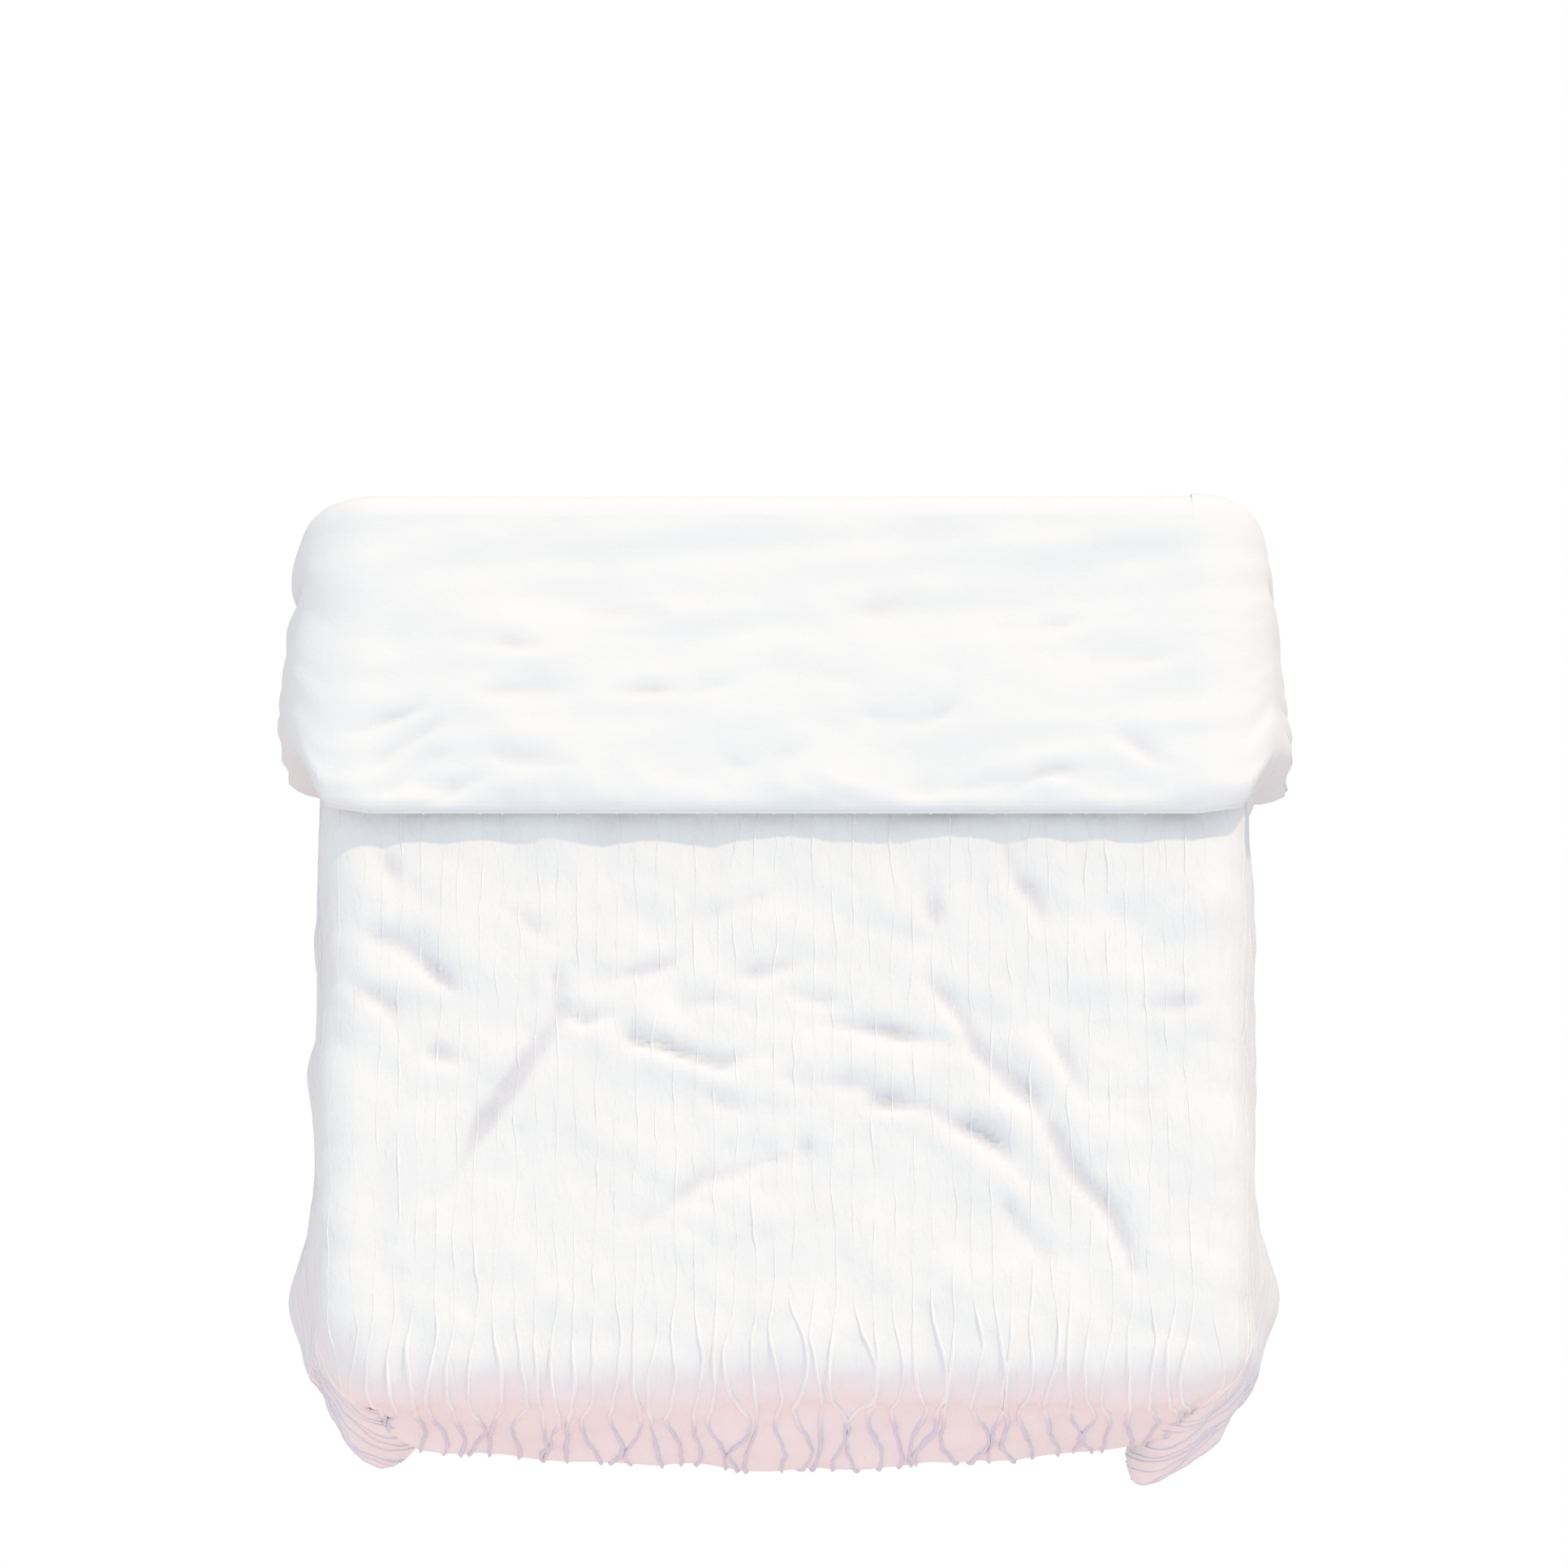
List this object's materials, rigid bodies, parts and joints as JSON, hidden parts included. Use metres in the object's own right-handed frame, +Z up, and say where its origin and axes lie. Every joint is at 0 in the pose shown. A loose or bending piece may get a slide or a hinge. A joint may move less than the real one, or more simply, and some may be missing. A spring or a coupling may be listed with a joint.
{
  "type": "duvet",
  "caption": "Filled duvet in a pintucked cotton cover, draped over a mattress with its head end turned back over itself; the turned-back end unfolds with its hanging sides.",
  "frame": {"origin": "middle of the flat underside that lies on the mattress, between the foot bend and the head fold, on the mattress's top surface", "axes": "+X to the right-hand side seen from the foot, +Y to the head end, +Z up"},
  "size_m": [1.7904, 1.6694, 0.5564],
  "materials": {
    "pintucked_cotton": "soft white cotton percale with lengthwise crinkled pintucks, matt",
    "plain_cotton": "smooth white cotton percale, matt",
    "down_proof_ticking": "tight white cambric, faint sheen",
    "baffle_cloth": "thin open mesh tape",
    "down_fill": "soft loose fill",
    "cotton_tape": "herringbone cotton tape",
    "shell_button": "white resin with a soft pearl gloss",
    "label_tape": "blank satin tape"
  },
  "bodies": {
    "root": {"main_face": "pintucked_cotton", "main_reverse": "plain_cotton", "insert_shell": "down_proof_ticking", "baffle_walls": "baffle_cloth", "down_row_1": "down_fill", "down_row_2": "down_fill", "down_row_3": "down_fill", "down_row_4": "down_fill", "down_row_5": "down_fill", "side_down_left": "down_fill", "side_down_right": "down_fill", "foot_down": "down_fill", "corner_down_left": "down_fill", "corner_down_right": "down_fill", "pintucks": "pintucked_cotton", "side_seam_left": "pintucked_cotton", "side_seam_right": "pintucked_cotton", "foot_seam": "pintucked_cotton", "foot_placket": "plain_cotton", "buttons": "shell_button", "corner_ties": "cotton_tape", "insert_loops": "cotton_tape", "care_label": "label_tape", "fold_lower_cover": "plain_cotton", "fold_lower_down": "down_fill"},
    "turn_back": {"flap_face": "pintucked_cotton", "flap_reverse": "plain_cotton", "flap_shell": "down_proof_ticking", "flap_baffles": "baffle_cloth", "flap_down_1": "down_fill", "flap_down_2": "down_fill", "head_seam": "plain_cotton", "flap_pintucks": "pintucked_cotton", "fold_upper_cover": "plain_cotton", "fold_upper_down": "down_fill"},
    "left_edge": {"left_bend_cover": "plain_cotton", "left_bend_down": "down_fill"},
    "left_wing": {"left_wing_face": "pintucked_cotton", "left_wing_reverse": "plain_cotton", "left_wing_shell": "down_proof_ticking", "left_wing_down": "down_fill", "left_wing_seam": "plain_cotton", "left_wing_fold": "plain_cotton", "left_wing_tie": "cotton_tape", "left_wing_loop": "cotton_tape"},
    "right_edge": {"right_bend_cover": "plain_cotton", "right_bend_down": "down_fill"},
    "right_wing": {"right_wing_face": "pintucked_cotton", "right_wing_reverse": "plain_cotton", "right_wing_shell": "down_proof_ticking", "right_wing_down": "down_fill", "right_wing_seam": "plain_cotton", "right_wing_fold": "plain_cotton", "right_wing_tie": "cotton_tape", "right_wing_loop": "cotton_tape"}
  },
  "joints": [
    {"name": "turn_back_fold", "type": "hinge", "parent": "root", "child": "turn_back", "pos_m": [0, 0.745, 0.048], "axis": [-1, 0, 0], "range_deg": [0, 179], "deforming": ["fold_lower_cover", "fold_lower_down", "fold_upper_cover", "fold_upper_down"]},
    {"name": "left_edge_roll", "type": "hinge", "parent": "turn_back", "child": "left_edge", "pos_m": [-0.75334, 0.48, 0.048], "axis": [0, 1, 0], "range_deg": [0, 83.2], "deforming": ["left_bend_cover", "left_bend_down"]},
    {"name": "left_wing_drop", "type": "hinge", "parent": "left_edge", "child": "left_wing", "pos_m": [-0.80328, 0.48, 0.00382], "axis": [0, 1, 0], "range_deg": [0, 83.2], "deforming": ["left_wing_fold"]},
    {"name": "right_edge_roll", "type": "hinge", "parent": "turn_back", "child": "right_edge", "pos_m": [0.75334, 0.48, 0.048], "axis": [0, -1, 0], "range_deg": [0, 83.2], "deforming": ["right_bend_cover", "right_bend_down"]},
    {"name": "right_wing_drop", "type": "hinge", "parent": "right_edge", "child": "right_wing", "pos_m": [0.80328, 0.48, 0.00382], "axis": [0, -1, 0], "range_deg": [0, 83.2], "deforming": ["right_wing_fold"]}
  ],
  "couplings": [
    {"joint": "left_edge_roll", "follows": "turn_back_fold", "ratio": 0.46111},
    {"joint": "left_wing_drop", "follows": "turn_back_fold", "ratio": 0.46111},
    {"joint": "right_edge_roll", "follows": "turn_back_fold", "ratio": 0.46111},
    {"joint": "right_wing_drop", "follows": "turn_back_fold", "ratio": 0.46111}
  ]
}
